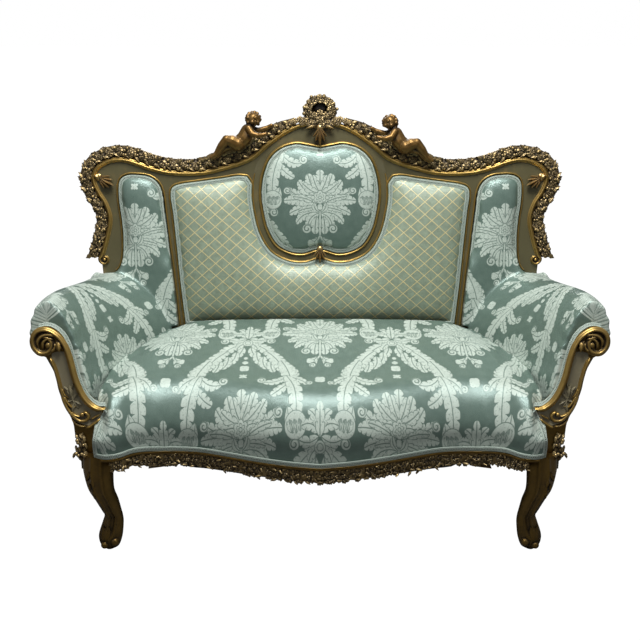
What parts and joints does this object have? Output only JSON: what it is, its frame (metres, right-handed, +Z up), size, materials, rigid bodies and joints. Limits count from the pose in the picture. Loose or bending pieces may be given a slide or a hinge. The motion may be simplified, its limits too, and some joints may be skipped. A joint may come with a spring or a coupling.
{
  "type": "rococo settee",
  "caption": "Upright settee with a serpentine seat, rolled padded arms and a carved, gilded show-wood back that rises to a crest over an oval padded medallion.",
  "frame": {"origin": "on the floor under the middle of the settee's box", "axes": "+X to the right as seen by someone who faces the settee, +Y to its back, +Z up"},
  "size_m": [1.4836, 0.7672, 1.1303],
  "materials": {
    "show_wood": "olive paint, satin, rubbed along its edges",
    "gilt": "aged gilding on carved wood, dark in its hollows",
    "damask": "satin damask, pale figure on an aqua ground",
    "trellis_silk": "satin with a woven gold trellis",
    "beech": "plain sawn",
    "jute": "coarse woven webbing",
    "spring_steel": "dull drawn wire",
    "dust_cloth": "thin black cloth"
  },
  "bodies": {
    "root": {"front_rail": "show_wood", "rear_rail": "beech", "side_rail_left": "beech", "side_rail_right": "beech", "corner_block_front_left": "beech", "corner_block_front_right": "beech", "corner_block_rear_left": "beech", "corner_block_rear_right": "beech", "front_leg_left": "show_wood", "front_leg_right": "show_wood", "rear_leg_left": "show_wood", "rear_leg_right": "show_wood", "crest_rail": "show_wood", "medallion_ring": "show_wood", "back_stile_left": "show_wood", "back_stile_right": "show_wood", "back_muntin_left": "show_wood", "back_muntin_right": "show_wood", "back_bottom_rail": "beech", "scroll_moulding_left": "gilt", "scroll_moulding_right": "gilt", "garland_left": "gilt", "garland_right": "gilt", "cherub_left": "gilt", "cherub_right": "gilt", "crest_cartouche": "gilt", "crest_spray": "gilt", "corner_spray_left": "gilt", "corner_spray_right": "gilt", "medallion_bead": "gilt", "medallion_pad": "damask", "trellis_pad": "trellis_silk", "wing_pad_left": "damask", "wing_pad_right": "damask", "outside_back_panel": "damask", "seat_pad": "damask", "arm_pad_left": "damask", "arm_pad_right": "damask", "arm_rail_left": "beech", "arm_rail_right": "beech", "outside_arm_panel_left": "damask", "outside_arm_panel_right": "damask", "arm_facing_left": "show_wood", "arm_facing_right": "show_wood", "seat_webbing": "jute", "seat_spring_1": "spring_steel", "seat_spring_2": "spring_steel", "seat_spring_3": "spring_steel", "seat_spring_4": "spring_steel", "seat_spring_5": "spring_steel", "seat_spring_6": "spring_steel", "seat_spring_7": "spring_steel", "seat_spring_8": "spring_steel", "dust_cover": "dust_cloth"}
  },
  "joints": []
}
